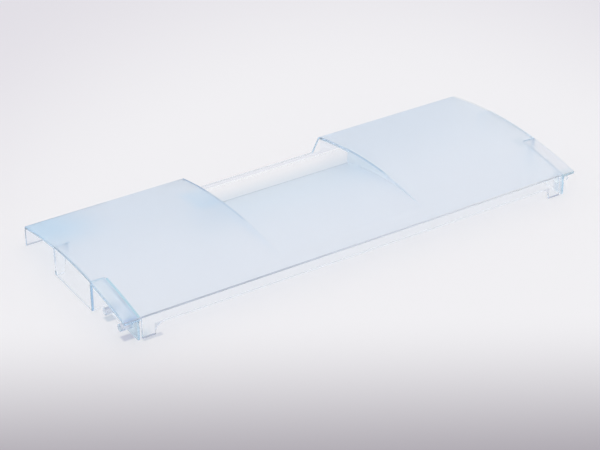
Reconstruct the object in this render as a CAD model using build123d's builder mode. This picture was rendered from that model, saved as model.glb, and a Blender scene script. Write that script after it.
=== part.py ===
# Freezer compartment flap: one clear moulding with an arched panel, a skirt along each long edge,
# a scooped grip with a finger slot in the middle, and two hinge pins at each end.
# X runs along the flap, Y from the hinge edge to the grip edge, and Z up from the feet.
import os
from math import cos, radians, sqrt, tan

from build123d import *

os.makedirs("parts", exist_ok=True)

# Panel, in millimetres
flap_length = 470.0
flap_depth = 186.5
hinge_edge_height = 20.8  # top of the arch at the hinge edge
middle_height = 30.0  # top of the arch, midway between the long edges
grip_edge_height = 18.9  # top of the arch at the grip edge
wall = 2.2
bend_radius = 2.0  # outside of the bend from the panel into the grip skirt
edge_round = 0.9  # the panel's upper edge along the hinge side and both ends

# Grip scoop and the finger slot behind its lip
grip_width = 149.0  # between the wings, at the lip and along the slot
scoop_start = 17.0  # hinge edge to the line where the scoop leaves the arch
scoop_radius = 290.0  # scoop floor, seen from the end
scoop_lean = 3.0  # side walls off the vertical, in degrees
lip_height = 14.0
slot_depth = 50.0  # lip to the grip edge

# Notch in the grip skirt, over a low sill
sill_height = 4.4
sill_width = 134.0

# Hinge skirt, which stands on a foot at each end
skirt_length = 437.4
skirt_lift = 10.2  # lower edge between the feet
foot_width = 12.2
foot_round = 8.4  # hollow corner between a foot and the lower edge

# End plates, which jog in to the pin walls through cross walls
plate_start = 59.2  # hinge edge to the plate's near end
plate_length = 68.8
flange_head = 14.0  # cross wall at the plate's far end, from the flap's end inwards at the crown
flange_foot = 10.2  # the same at the foot
pin_wall_inset = 11.5  # flap's end to the pin wall's outer face

# Sunk strips over the pins
strip_width = 14.4
strip_drop = 0.5
strip_corner = 3.0

# Pins: the pivot nearer the hinge edge, the stop behind it
pin_diameter = 6.8
pin_tip_chamfer = 0.6
pivot_setback = 10.0  # hinge edge to the pivot pin's axis
pivot_height = 10.5
stop_setback = 36.0
stop_height = 12.0

# Places worked out from the sizes
end_x = flap_length / 2
hinge_y = -flap_depth / 2
grip_y = flap_depth / 2
scoop_y = hinge_y + scoop_start
lip_y = grip_y - slot_depth
plate_y = hinge_y + plate_start
plate_far_y = plate_y + plate_length
pin_wall_x = end_x - pin_wall_inset

# The arch, in the end view: a circle through its middle and both long edges
arch = ThreePointArc((hinge_y, hinge_edge_height), (0, middle_height), (grip_y, grip_edge_height))
arch_center = arch.arc_center
arch_radius = arch.radius
crown_height = arch_center.Y + arch_radius
ceiling = crown_height + wall  # clear of everything, for cuts that run out at the top


def arch_z(y, inset=0.0):
    """Height at y of the arch's outer face, or of that face moved inwards."""
    return arch_center.Y + sqrt((arch_radius - inset) ** 2 - (y - arch_center.X) ** 2)


def arch_line(inset=0.0):
    """The arch from the hinge edge to the grip edge, in the end view."""
    return ThreePointArc(*[(y, arch_z(y, inset)) for y in (hinge_y, 0, grip_y)])


def arch_band(outer, inner):
    """End view of a wall that follows the arch, between two insets."""
    with BuildSketch(Plane.YZ) as band:
        with BuildLine():
            top = arch_line(outer)
            bottom = arch_line(inner)
            Line(top @ 0, bottom @ 0)
            Line(top @ 1, bottom @ 1)
        make_face()
    return band.sketch


def under_arch(inset=0.0):
    """End view of the room under the arch, or under its face moved inwards."""
    with BuildSketch(Plane.YZ) as room:
        with BuildLine():
            top = arch_line(inset)
            Polyline(top @ 1, (grip_y, 0), (hinge_y, 0), top @ 0)
        make_face()
    return room.sketch


# The scoop floor's centre, in the end view: its arc falls from the arch to the lip
floor_arc = RadiusArc((scoop_y, arch_z(scoop_y)), (lip_y, lip_height), scoop_radius)
floor_center = floor_arc.arc_center


def scoop_room(outset):
    """Room over the scoop's floor and between its side walls, with each of them moved outwards."""

    def floor_z(y):
        return floor_center.Y + sqrt((scoop_radius - outset) ** 2 - (y - floor_center.X) ** 2)

    def half_width(z):
        lean = tan(radians(scoop_lean)) * (z - arch_z(lip_y))
        return grip_width / 2 + lean + outset / cos(radians(scoop_lean))

    with BuildPart() as room:
        with BuildSketch(Plane.YZ):
            with BuildLine():
                floor = ThreePointArc(*[(y, floor_z(y)) for y in (scoop_y, (scoop_y + lip_y) / 2, lip_y)])
                Polyline(floor @ 1, (lip_y, ceiling), (scoop_y, ceiling), floor @ 0)
            make_face()
        extrude(amount=end_x, both=True)
        with BuildSketch(Plane.XZ):
            with BuildLine():
                Polyline((0, 0), (half_width(0), 0), (half_width(ceiling), ceiling), (0, ceiling))
                mirror(about=Plane.YZ)
            make_face()
        extrude(amount=flap_depth, both=True, mode=Mode.INTERSECT)
    return room.part


def strip_plan():
    """Plan of the sunk strip at the +X end."""
    with BuildSketch() as plan:
        with Locations((end_x, hinge_y)):
            Rectangle(strip_width, plate_start, align=(Align.MAX, Align.MIN))
        inner_corner = plan.vertices().group_by(Axis.Y)[-1].sort_by(Axis.X)[0]
        fillet(inner_corner, radius=strip_corner)
    return plan.sketch


# Everything under the outer face of the arch, which trims the walls below
with BuildPart() as envelope:
    extrude(under_arch(), amount=end_x, both=True)
    bend = envelope.edges().filter_by(Axis.X).group_by(Axis.Y)[-1].sort_by(Axis.Z)[-1]
    fillet(bend, radius=bend_radius)
    hinge_edge = envelope.edges().filter_by(Axis.X).group_by(Axis.Y)[0].sort_by(Axis.Z)[-1]
    end_arcs = envelope.edges().filter_by(GeomType.CIRCLE)
    end_edges = end_arcs.filter_by(lambda edge: edge.radius > bend_radius)
    fillet(end_edges + [hinge_edge], radius=edge_round)

# Walls and pins of the +X end
with BuildPart() as end_frame:
    with BuildSketch():
        with BuildLine():
            outer_face = Polyline(
                (pin_wall_x, hinge_y),
                (pin_wall_x, plate_y),
                (end_x, plate_y),
                (end_x, plate_far_y),
            )
            offset(outer_face, amount=wall, side=Side.LEFT)
        make_face()
    extrude(amount=ceiling)
    with BuildSketch(Plane.XZ.offset(-plate_far_y)):
        with BuildLine():
            Polyline(
                (end_x, 0),
                (end_x, ceiling),
                (end_x - flange_head, ceiling),
                (end_x - flange_foot, 0),
                close=True,
            )
        make_face()
    extrude(amount=wall)
    add(envelope.part, mode=Mode.INTERSECT)
    with BuildSketch(Plane.YZ.offset(pin_wall_x)):
        with Locations((hinge_y + pivot_setback, pivot_height), (hinge_y + stop_setback, stop_height)):
            Circle(pin_diameter / 2)
    extrude(amount=pin_wall_inset)
    pin_tips = end_frame.faces().filter_by(GeomType.PLANE).group_by(Axis.X)[-1]
    tip_edges = pin_tips.edges().filter_by(GeomType.CIRCLE)
    chamfer(tip_edges, length=pin_tip_chamfer)

# The sunk strip of the +X end, and the room that it leaves over itself
with BuildPart() as strip:
    extrude(strip_plan(), amount=ceiling)
    extrude(arch_band(strip_drop, strip_drop + wall), amount=end_x, both=True, mode=Mode.INTERSECT)

with BuildPart() as strip_room:
    extrude(strip_plan(), amount=ceiling)
    extrude(under_arch(strip_drop), amount=end_x, both=True, mode=Mode.SUBTRACT)

scoop_outside = scoop_room(wall)
scoop_inside = scoop_room(0)

with BuildPart() as flap:
    # Arched panel
    extrude(arch_band(0, wall), amount=end_x, both=True)

    # Scoop, as a block that is hollowed from above once it is trimmed to the arch
    add(scoop_outside)

    # Grip skirt, over the whole length
    with BuildSketch(Plane.XZ.offset(-grip_y)):
        Rectangle(flap_length, ceiling, align=(Align.CENTER, Align.MIN))
    extrude(amount=wall)

    # Hinge skirt with its feet
    with BuildSketch(Plane.XZ.offset(-hinge_y)):
        with BuildLine():
            foot_x = skirt_length / 2 - foot_width
            lower_edge = Line((0, skirt_lift), (foot_x - foot_round, skirt_lift))
            hollow = JernArc(lower_edge @ 1, (1, 0), foot_round, -90)
            Polyline(
                hollow @ 1,
                (foot_x, 0),
                (skirt_length / 2, 0),
                (skirt_length / 2, ceiling),
                (0, ceiling),
            )
            mirror(about=Plane.YZ)
        make_face()
    extrude(amount=-wall)
    add(envelope.part, mode=Mode.INTERSECT)

    # Hollow of the scoop, and the finger slot between the wings behind its lip
    add(scoop_inside, mode=Mode.SUBTRACT)
    with BuildSketch():
        with Locations((0, lip_y)):
            Rectangle(grip_width, slot_depth - wall, align=(Align.CENTER, Align.MIN))
    extrude(amount=ceiling, mode=Mode.SUBTRACT)

    # Notch in the grip skirt, from the sill up to the wings
    with BuildSketch(Plane.XZ.offset(-grip_y)):
        with BuildLine():
            Polyline(
                (0, sill_height),
                (sill_width / 2, sill_height),
                (grip_width / 2, grip_edge_height),
                (grip_width / 2, ceiling),
                (0, ceiling),
            )
            mirror(about=Plane.YZ)
        make_face()
    extrude(amount=wall, mode=Mode.SUBTRACT)

    # Both ends: walls and pins, and the panel sunk into a strip over the pins
    add(end_frame.part)
    mirror(end_frame.part, about=Plane.YZ)
    add(strip_room.part, mode=Mode.SUBTRACT)
    mirror(strip_room.part, about=Plane.YZ, mode=Mode.SUBTRACT)
    add(strip.part)
    mirror(strip.part, about=Plane.YZ)

flap.part.label = "flap"
export_step(flap.part, "parts/flap.step")
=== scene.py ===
import math

import bpy
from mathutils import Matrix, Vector

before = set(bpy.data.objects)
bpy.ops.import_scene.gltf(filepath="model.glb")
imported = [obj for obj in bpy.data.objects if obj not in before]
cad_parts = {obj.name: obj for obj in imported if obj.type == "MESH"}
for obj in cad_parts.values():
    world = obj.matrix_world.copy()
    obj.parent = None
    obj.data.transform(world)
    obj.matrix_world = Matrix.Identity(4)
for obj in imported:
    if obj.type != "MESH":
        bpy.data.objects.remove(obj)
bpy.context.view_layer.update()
print("frame loaded:", ", ".join(sorted(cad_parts)))

mm = 0.001  # millimetres to metres
leastFade = 0.01  # millimetres, for the edge of a place that has no fade
mixFactor, mixFirst, mixSecond, mixResult = 0, 6, 7, 2  # sockets of a colour Mix node


def srgb(hexColour):
    channels = [int(hexColour[i:i + 2], 16) / 255 for i in (1, 3, 5)]
    linear = [c / 12.92 if c <= 0.04045 else ((c + 0.055) / 1.055) ** 2.4 for c in channels]
    return (*linear, 1.0)


# adds a node, sets its properties and unlinked sockets, and links its inputs
def addNode(tree, kind, settings=None, values=None, links=None):
    node = tree.nodes.new(kind)
    for name, value in (settings or {}).items():
        setattr(node, name, value)
    for socket, value in (values or {}).items():
        node.inputs[socket].default_value = value
    for socket, source in (links or {}).items():
        tree.links.new(source, node.inputs[socket])
    return node


def newMaterial(name):
    material = bpy.data.materials.new(name)
    material.use_nodes = True
    material.node_tree.nodes.clear()
    return material, material.node_tree


# 1 for what the eye sees straight, mirrored or through clear plastic, 0 for light on its way
def seenRay(tree):
    ray = addNode(tree, "ShaderNodeLightPath")
    seen = ray.outputs["Is Camera Ray"]
    for kind in ("Is Glossy Ray", "Is Transmission Ray"):
        seen = addNode(
            tree,
            "ShaderNodeMath",
            {"operation": "MAXIMUM"},
            links={0: seen, 1: ray.outputs[kind]},
        ).outputs[0]
    return seen


# 1 inside all the bands of a place, fading to 0 outside them
def placeMask(tree, measures, bands):
    mask = None
    for measure, (low, high, fade) in bands.items():
        fromMiddle = addNode(
            tree,
            "ShaderNodeMath",
            {"operation": "SUBTRACT"},
            values={1: (low + high) / 2},
            links={0: measures[measure]},
        )
        offMiddle = addNode(
            tree,
            "ShaderNodeMath",
            {"operation": "ABSOLUTE"},
            links={0: fromMiddle.outputs[0]},
        )
        half = (high - low) / 2
        outside = half + max(fade, leastFade)
        inside = addNode(
            tree,
            "ShaderNodeMapRange",
            {"interpolation_type": "SMOOTHSTEP"},
            values={"From Min": half, "From Max": outside, "To Min": 1.0, "To Max": 0.0},
            links={"Value": offMiddle.outputs[0]},
        ).outputs["Result"]
        if mask:
            inside = addNode(
                tree,
                "ShaderNodeMath",
                {"operation": "MULTIPLY"},
                links={0: mask, 1: inside},
            ).outputs[0]
        mask = inside
    return mask


# Clear polystyrene, injection moulded: pale blue, glass-clear where the mould was polished,
# and frosted on the outer face, where the mould was spark-eroded. Its cut edges gather blue, from the
# absorption inside and from painted blue in the tints below.
# Lengths are in millimetres. A place is a set of bands, each from, to and fade: side, along and up
# are X, Y and Z, across is X both ways from the middle, and over the arch or the scoop is outwards
# from that face.
plastic = {
    "ior": 1.59,
    "absorbed": "#4BCBF8",
    "density": 4.5,  # per metre
    "clear": "#FDFEFF",
    "polishRoughness": (0.03, 0.08),  # fresh from the mould, and where fingers dulled it
    "smudgeSize": 25,
    "smudgeDetail": 4.0,
    "smudgeEdge": (0.4, 0.7),  # of the noise
    "frost": "#EFF4FB",
    "frostRoughness": 0.4,
    "cloud": "#E9F0F9",  # flow of the melt shows as faint clouds in the frost
    "cloudSize": 70,
    "cloudDetail": 3.0,
    "grain": 0.4,  # ten times the real grit, so that it shows
    "grainDetail": 2.0,
    "grainDepth": 0.008,
    "archCentre": (0, -4.313, -403.47),
    "archRadius": 433.49,
    "scoopCentre": (0, -40.2, -263.7),
    "scoopRadius": 290.0,
    "frosted": [
        {"over arch": (-0.75, 0.25, 0)},  # takes in the strips, sunk by 0.5
        {"over scoop": (-0.25, 30, 0), "across": (0, 75.3, 0), "along": (-76.25, 43.25, 0)},
        {"across": (0, 199, 0), "along": (-94, -90.9, 0), "up": (9.9, 10.5, 0)},  # skirt's lower edge
    ],
    # The tints are set by place and are mostly painted light and shade: blue light gathered in cut edges and
    # strips, shade seen under and behind the panel, and ends lighter or darker than each other.
    "tints": [
        # painted shade: frost bluer and darker towards the grip edge and the scoop's lip, and most at the
        # far left corner
        ("#E3EBF5", {"along": (60, 95, 110), "over arch": (-0.75, 0.25, 0)}),
        ("#F0F6FD", {"along": (30, 44, 60), "across": (0, 75.3, 0), "over scoop": (-0.25, 30, 0)}),
        ("#C8E5FA", {"side": (-236, -222, 58), "along": (70, 95, 56), "over arch": (-0.75, 0.25, 0)}),
        # painted shade on the frost of the left wing by the lip, and of the right one over its cross wall
        ("#D6E8F8", {"side": (-92, -75, 14), "along": (28, 48, 18), "over arch": (-0.25, 0.25, 0)}),
        ("#DFE9F3", {"side": (216, 221, 7), "along": (-36, -31, 8), "over arch": (-0.3, 0.25, 0)}),
        # painted light and shade on the strips: the left one bluer than the right, both bluer towards the
        # hinge edge
        ("#ECEEF4", {"side": (220.6, 236, 0), "along": (-94, -34, 0), "over arch": (-0.75, -0.3, 0)}),
        ("#E4F0F9", {"side": (-236, -220.6, 0), "along": (-94, -34, 0), "over arch": (-0.75, -0.3, 0)}),
        ("#DCECFC", {"side": (-236, -220.6, 0), "along": (-94, -85, 25), "over arch": (-0.75, -0.3, 0)}),
        ("#DEE9F2", {"side": (220.6, 236, 0), "along": (-94, -91, 8), "over arch": (-0.75, -0.3, 0)}),
        ("#CEE1FF", {"side": (-236, -220.6, 0), "along": (-94, -91, 4), "over arch": (-0.75, -0.3, 0)}),
        # edges of the strips, painted blue for the light that gathers in them
        ("#A4D4E6", {"side": (-221.4, -219.9, 0.4), "along": (-94, -36, 0), "over arch": (-0.75, 0.25, 0)}),
        ("#C5DEF0", {"side": (-236, -234.2, 0), "along": (-94, -34, 0), "over arch": (-3, -0.3, 0)}),
        ("#C8DAF0", {"side": (-236, -220.6, 0), "along": (-94, -92.3, 0), "up": (16, 22, 0)}),
        ("#B6C8CC", {"side": (220.6, 236, 0), "along": (-94, -92.3, 0), "up": (16, 22, 0)}),
        # panel's edge at the right end, painted white, lighter than the frost
        ("#FFFFFF", {"side": (233.4, 236, 1.5), "along": (-34, 94, 0), "over arch": (-3, 0.25, 0)}),
        # hinge edge, greyer and darker, most on the left
        ("#EBE4E3", {"across": (0, 220.6, 0), "along": (-94, -92.3, 0), "up": (19.7, 22.0, 0)}),
        ("#D4D2DB", {"side": (-220.6, 20, 150), "along": (-94, -92.3, 0), "up": (19.7, 22.0, 0)}),
        ("#B0B2BF", {"side": (-220.6, -110, 120), "along": (-94, -92.3, 0), "up": (19.7, 22.0, 0)}),
        # end plates' corners, and the free edges of the cross walls behind them, painted blue for the light
        # that gathers in these edges
        ("#A6C0D9", {"across": (232.8, 235.2, 0), "along": (-34.3, -33.8, 0), "up": (0, 27, 0)}),
        ("#DCEBF8", {"across": (220.5, 223.4, 0.8), "along": (32.3, 35, 0), "up": (0, 26, 0)}),
        ("#BCD3E8", {"side": (-223.4, -220.5, 0.8), "along": (32.3, 35, 0), "up": (4, 27, 4)}),
        # painted shade on the left end plate's lower edge and the grip skirt's lower edge, the plate's far
        # corner painted white, and painted blue on the grip skirt's left end
        ("#DDE2EA", {"side": (-235.2, -232.7, 0), "along": (-34, 34.8, 0), "up": (-0.1, 0.7, 0)}),
        ("#FFFFFF", {"side": (-235.2, -224, 0), "along": (32, 35, 0), "up": (-0.1, 3, 0)}),
        ("#C4CCD8", {"side": (-235.2, -150, 0), "along": (91, 94, 0), "up": (-0.1, 0.9, 0)}),
        ("#B8CBDD", {"side": (-235.2, -234.8, 0), "along": (91, 94, 0), "up": (0.1, 17, 0)}),
        # painted light and shade on the grip skirt: faintly bluer, a grey line on the top of its sill, and
        # white on the slopes of its notch
        ("#F7F9FD", {"across": (0, 234.8, 0), "along": (90.9, 94, 0), "up": (1, 16, 0)}),
        ("#EAEDF0", {"across": (0, 67, 0), "along": (91, 93.4, 0), "up": (4.2, 4.6, 0)}),
        ("#FFFFFF", {"across": (66, 75.5, 0), "along": (90.9, 94, 0), "up": (4.2, 19, 0)}),
        # edges along the finger slot and the scoop, with painted blue edge light and a painted grey line at
        # the lip, and the scoop's right wall painted a paler blue
        ("#97B0CC", {"side": (-75.8, -74.2, 0.4), "along": (43, 94, 0), "over arch": (-2.5, 0.25, 0)}),
        ("#F2FAFF", {"side": (73, 78, 0), "along": (-20, 43.3, 0), "over scoop": (0.6, 30, 0)}),
        ("#CBD8E6", {"side": (-76.2, -74.2, 0.8), "along": (-10, 43, 15), "over arch": (-0.3, 0.25, 0)}),
        ("#A8C0D8", {"side": (74.2, 76.2, 0.8), "along": (-10, 43, 15), "over arch": (-0.3, 0.25, 0)}),
        ("#B4CBE0", {"side": (74.2, 75.4, 0.4), "along": (43, 94, 0), "over arch": (-0.3, 0.25, 0)}),
        ("#B9C4CE", {"across": (0, 75, 0), "along": (42.3, 43.5, 0), "over scoop": (-2.4, 0.25, 0)}),
        # hinge skirt's lower edge painted white; painted shade in the feet's corners, on the left foot and
        # along the feet's bottoms; painted grey shade on the left pins; and painted blue on the pin walls'
        # near ends
        ("#FFFFFF", {"across": (0, 199, 0), "along": (-94, -90.9, 0), "up": (9.9, 10.5, 0)}),
        ("#EAEDF2", {"across": (199, 207, 0), "along": (-94, -90.9, 0), "up": (1.5, 10.6, 0)}),
        ("#EEF5F9", {"side": (-219, -217, 9), "along": (-94, -90.9, 0), "up": (0.8, 3, 8)}),
        ("#B2B8C8", {"across": (206, 219, 0), "along": (-94, -90.9, 0), "up": (-0.1, 0.8, 0)}),
        ("#E1E4EC", {"side": (-236, -223.6, 0), "along": (-90, -50, 0), "up": (6, 16.5, 0)}),
        ("#D3E3EC", {"side": (-223.8, -221, 0), "along": (-94, -80, 10), "up": (0, 18, 0)}),
        ("#E0EBF4", {"side": (221, 223.8, 0), "along": (-93, -84, 6), "up": (0, 18, 0)}),
        ("#CDE2EE", {"side": (221, 223.8, 0), "along": (-94, -92.9, 0), "up": (0, 18, 0)}),
    ],
}


def makePlastic():
    material, tree = newMaterial("Polystyrene, clear pale blue, moulded")
    place = addNode(tree, "ShaderNodeTexCoord").outputs["Object"]
    inMm = addNode(
        tree,
        "ShaderNodeVectorMath",
        {"operation": "SCALE"},
        values={"Scale": 1 / mm},
        links={0: place},
    ).outputs[0]
    axes = addNode(tree, "ShaderNodeSeparateXYZ", links={0: inMm})
    across = addNode(tree, "ShaderNodeMath", {"operation": "ABSOLUTE"}, links={0: axes.outputs["X"]})
    measures = {
        "side": axes.outputs["X"],
        "across": across.outputs[0],
        "along": axes.outputs["Y"],
        "up": axes.outputs["Z"],
    }
    endView = addNode(
        tree,
        "ShaderNodeVectorMath",
        {"operation": "MULTIPLY"},
        values={1: (0, 1, 1)},
        links={0: inMm},
    )
    for face in ("arch", "scoop"):
        fromCentre = addNode(
            tree,
            "ShaderNodeVectorMath",
            {"operation": "DISTANCE"},
            values={1: plastic[face + "Centre"]},
            links={0: endView.outputs[0]},
        )
        outwards = addNode(
            tree,
            "ShaderNodeMath",
            {"operation": "SUBTRACT"},
            values={1: plastic[face + "Radius"]},
            links={0: fromCentre.outputs["Value"]},
        )
        measures["over " + face] = outwards.outputs[0]

    frost = placeMask(tree, measures, plastic["frosted"][0])
    for bands in plastic["frosted"][1:]:
        frost = addNode(
            tree,
            "ShaderNodeMath",
            {"operation": "MAXIMUM"},
            links={0: frost, 1: placeMask(tree, measures, bands)},
        ).outputs[0]

    clouds = addNode(
        tree,
        "ShaderNodeTexNoise",
        values={"Scale": 1 / plastic["cloudSize"], "Detail": plastic["cloudDetail"]},
        links={"Vector": inMm},
    )
    frostColour = addNode(
        tree,
        "ShaderNodeMix",
        {"data_type": "RGBA"},
        values={mixFirst: srgb(plastic["frost"]), mixSecond: srgb(plastic["cloud"])},
        links={mixFactor: clouds.outputs["Fac"]},
    )
    colour = addNode(
        tree,
        "ShaderNodeMix",
        {"data_type": "RGBA"},
        values={mixFirst: srgb(plastic["clear"])},
        links={mixFactor: frost, mixSecond: frostColour.outputs[mixResult]},
    )
    for tint, bands in plastic["tints"]:
        colour = addNode(
            tree,
            "ShaderNodeMix",
            {"data_type": "RGBA"},
            values={mixSecond: srgb(tint)},
            links={mixFactor: placeMask(tree, measures, bands), mixFirst: colour.outputs[mixResult]},
        )

    smudges = addNode(
        tree,
        "ShaderNodeTexNoise",
        values={"Scale": 1 / plastic["smudgeSize"], "Detail": plastic["smudgeDetail"]},
        links={"Vector": inMm},
    )
    polish = addNode(
        tree,
        "ShaderNodeMapRange",
        values={
            "From Min": plastic["smudgeEdge"][0],
            "From Max": plastic["smudgeEdge"][1],
            "To Min": plastic["polishRoughness"][0],
            "To Max": plastic["polishRoughness"][1],
        },
        links={"Value": smudges.outputs["Fac"]},
    )
    roughness = addNode(
        tree,
        "ShaderNodeMapRange",
        values={"To Max": plastic["frostRoughness"]},
        links={"Value": frost, "To Min": polish.outputs["Result"]},
    )
    grain = addNode(
        tree,
        "ShaderNodeTexNoise",
        values={"Scale": 1 / plastic["grain"], "Detail": plastic["grainDetail"]},
        links={"Vector": inMm},
    )
    bump = addNode(
        tree,
        "ShaderNodeBump",
        values={"Distance": plastic["grainDepth"] * mm},
        links={"Height": grain.outputs["Fac"], "Strength": frost},
    )
    surface = addNode(
        tree,
        "ShaderNodeBsdfPrincipled",
        values={"IOR": plastic["ior"], "Transmission Weight": 1.0},
        links={
            "Base Color": colour.outputs[mixResult],
            "Roughness": roughness.outputs["Result"],
            "Normal": bump.outputs[0],
        },
    )
    inside = addNode(
        tree,
        "ShaderNodeVolumeAbsorption",
        values={"Color": srgb(plastic["absorbed"]), "Density": plastic["density"]},
    )
    addNode(
        tree,
        "ShaderNodeOutputMaterial",
        links={"Surface": surface.outputs[0], "Volume": inside.outputs[0]},
    )
    return material


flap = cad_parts["flap"]
flap.material_slots[0].material = makePlastic()
print("flap dressed")

# White laminate table top, faintly satin. The light lies on it as a pool and falls off to the front.
table = {
    "size": 12.0,
    "gap": 0.2 * mm,  # under the feet, so that light gets out of the walls' lower edges
    "colour": "#F3F2F5",
    "roughness": 0.35,
    "poolCentre": (-0.076, -0.248, 0.0),
    "poolTurn": -32.7,  # degrees
    "poolStretch": (1.0, 1.67, 1.0),
    "poolEdge": (0.30, 0.60),
    "poolRim": "#E3E0E7",
    "toFront": (-0.510, -0.860, 0.0),
    "frontEdge": (0.16, 0.42),
    "frontShade": "#A6A0A8",
    "shades": [  # soft, behind the scoop's lip and by the left pins and foot, in millimetres
        ("#E5EEF5", {"side": (-85, 95, 15), "along": (46, 58, 34)}),
        ("#DCE3EA", {"side": (-230, -224, 3), "along": (-54, -49, 3)}),
        ("#DADCE6", {"side": (-232, -224, 3), "along": (-87, -82, 3)}),
        ("#E6E9EF", {"side": (-218, -203, 3), "along": (-96, -93, 1.5)}),
    ],
    "ownLight": 0.5,  # share of the top that shows no shadow, to eye, mirror and clear plastic
}


def makeTable():
    bpy.ops.object.select_all(action="DESELECT")
    bpy.ops.mesh.primitive_plane_add(size=table["size"], location=(0, 0, -table["gap"]))
    bpy.ops.object.transform_apply(location=True, rotation=False, scale=False)
    top = bpy.context.active_object
    top.name = "tableTop"
    material, tree = newMaterial("Laminate, white satin")
    place = addNode(tree, "ShaderNodeTexCoord").outputs["Object"]
    fromPool = addNode(
        tree,
        "ShaderNodeMapping",
        {"vector_type": "TEXTURE"},
        values={
            "Location": table["poolCentre"],
            "Rotation": (0, 0, math.radians(table["poolTurn"])),
            "Scale": table["poolStretch"],
        },
        links={"Vector": place},
    )
    outwards = addNode(tree, "ShaderNodeVectorMath", {"operation": "LENGTH"}, links={0: fromPool.outputs[0]})
    forward = addNode(
        tree,
        "ShaderNodeVectorMath",
        {"operation": "DOT_PRODUCT"},
        values={1: table["toFront"]},
        links={0: place},
    )
    rim, front = [
        addNode(
            tree,
            "ShaderNodeMapRange",
            {"interpolation_type": "SMOOTHSTEP"},
            values={"From Min": table[edge][0], "From Max": table[edge][1]},
            links={"Value": distance.outputs["Value"]},
        )
        for edge, distance in (("poolEdge", outwards), ("frontEdge", forward))
    ]
    pool = addNode(
        tree,
        "ShaderNodeMix",
        {"data_type": "RGBA"},
        values={mixFirst: srgb(table["colour"]), mixSecond: srgb(table["poolRim"])},
        links={mixFactor: rim.outputs["Result"]},
    )
    colour = addNode(
        tree,
        "ShaderNodeMix",
        {"data_type": "RGBA", "blend_type": "MULTIPLY"},
        values={mixSecond: srgb(table["frontShade"])},
        links={mixFactor: front.outputs["Result"], mixFirst: pool.outputs[mixResult]},
    )
    inMm = addNode(
        tree,
        "ShaderNodeVectorMath",
        {"operation": "SCALE"},
        values={"Scale": 1 / mm},
        links={0: place},
    )
    axes = addNode(tree, "ShaderNodeSeparateXYZ", links={0: inMm.outputs[0]})
    measures = {"side": axes.outputs["X"], "along": axes.outputs["Y"]}
    for shade, bands in table["shades"]:
        colour = addNode(
            tree,
            "ShaderNodeMix",
            {"data_type": "RGBA", "blend_type": "MULTIPLY"},
            values={mixSecond: srgb(shade)},
            links={mixFactor: placeMask(tree, measures, bands), mixFirst: colour.outputs[mixResult]},
        )
    surface = addNode(
        tree,
        "ShaderNodeBsdfPrincipled",
        values={"Roughness": table["roughness"]},
        links={"Base Color": colour.outputs[mixResult]},
    )
    glow = addNode(tree, "ShaderNodeEmission", links={"Color": colour.outputs[mixResult]})
    share = addNode(
        tree,
        "ShaderNodeMath",
        {"operation": "MULTIPLY"},
        values={1: table["ownLight"]},
        links={0: seenRay(tree)},
    )
    both = addNode(
        tree,
        "ShaderNodeMixShader",
        links={0: share.outputs[0], 1: surface.outputs[0], 2: glow.outputs[0]},
    )
    addNode(tree, "ShaderNodeOutputMaterial", links={"Surface": both.outputs[0]})
    top.data.materials.append(material)


makeTable()
print("table laid")

# White light tent, open at the front, where the dimmer room shows. Eye, mirror and clear plastic
# see its cloth no brighter than the table.
studio = {
    "colour": "#FFFFFF",
    "tent": 1.0,
    "cloth": 0.97,  # share of the tent's light that is seen
    "dark": 0.3,  # share of it that is missing in the opening
    "toOpening": (-0.522, -0.813, 0.261),
    "openingEdge": (0.55, 0.90),  # cosines of the angle from its middle
}


def makeStudio():
    world = bpy.data.worlds.new("softStudio")
    bpy.context.scene.world = world
    world.use_nodes = True
    tree = world.node_tree
    tree.nodes.clear()
    direction = addNode(tree, "ShaderNodeTexCoord").outputs["Generated"]
    towards = addNode(
        tree,
        "ShaderNodeVectorMath",
        {"operation": "DOT_PRODUCT"},
        values={1: studio["toOpening"]},
        links={0: direction},
    )
    opening = addNode(
        tree,
        "ShaderNodeMapRange",
        {"interpolation_type": "SMOOTHSTEP"},
        values={
            "From Min": studio["openingEdge"][0],
            "From Max": studio["openingEdge"][1],
            "To Min": studio["tent"],
            "To Max": studio["tent"] * (1 - studio["dark"]),
        },
        links={"Value": towards.outputs["Value"]},
    )
    cloth = addNode(
        tree,
        "ShaderNodeMapRange",
        values={"To Min": 1.0, "To Max": studio["cloth"]},
        links={"Value": seenRay(tree)},
    )
    strength = addNode(
        tree,
        "ShaderNodeMath",
        {"operation": "MULTIPLY"},
        links={0: opening.outputs["Result"], 1: cloth.outputs["Result"]},
    )
    light = addNode(
        tree,
        "ShaderNodeBackground",
        values={"Color": srgb(studio["colour"])},
        links={"Strength": strength.outputs[0]},
    )
    addNode(tree, "ShaderNodeOutputWorld", links={"Surface": light.outputs[0]})


makeStudio()
print("studio lit")

shot = {
    "aim": (-12.3 * mm, -9.5 * mm, 0),
    "azimuth": -32.71,  # degrees; 0 looks along +Y
    "elevation": 30.70,
    "distance": 1.70,
    "lens": 113.2,
    "sensor": 36.0,
    "clipEnd": 50,
}


def makeCamera():
    azimuth = math.radians(shot["azimuth"])
    elevation = math.radians(shot["elevation"])
    flat = math.cos(elevation)
    back = Vector((math.sin(azimuth) * flat, -math.cos(azimuth) * flat, math.sin(elevation)))
    data = bpy.data.cameras.new("camera")
    data.lens = shot["lens"]
    data.sensor_width = shot["sensor"]
    data.clip_end = shot["clipEnd"]
    camera = bpy.data.objects.new("camera", data)
    camera.location = Vector(shot["aim"]) + back * shot["distance"]
    camera.rotation_euler = back.to_track_quat("Z", "Y").to_euler()
    bpy.context.scene.collection.objects.link(camera)
    bpy.context.scene.camera = camera


makeCamera()
bpy.context.scene.view_settings.view_transform = "Standard"
cycles = bpy.context.scene.cycles  # light runs a long way inside clear plastic
cycles.max_bounces = 48
cycles.diffuse_bounces = 12
cycles.glossy_bounces = 32
cycles.transmission_bounces = 48
cycles.blur_glossy = 0.0
print("camera set")
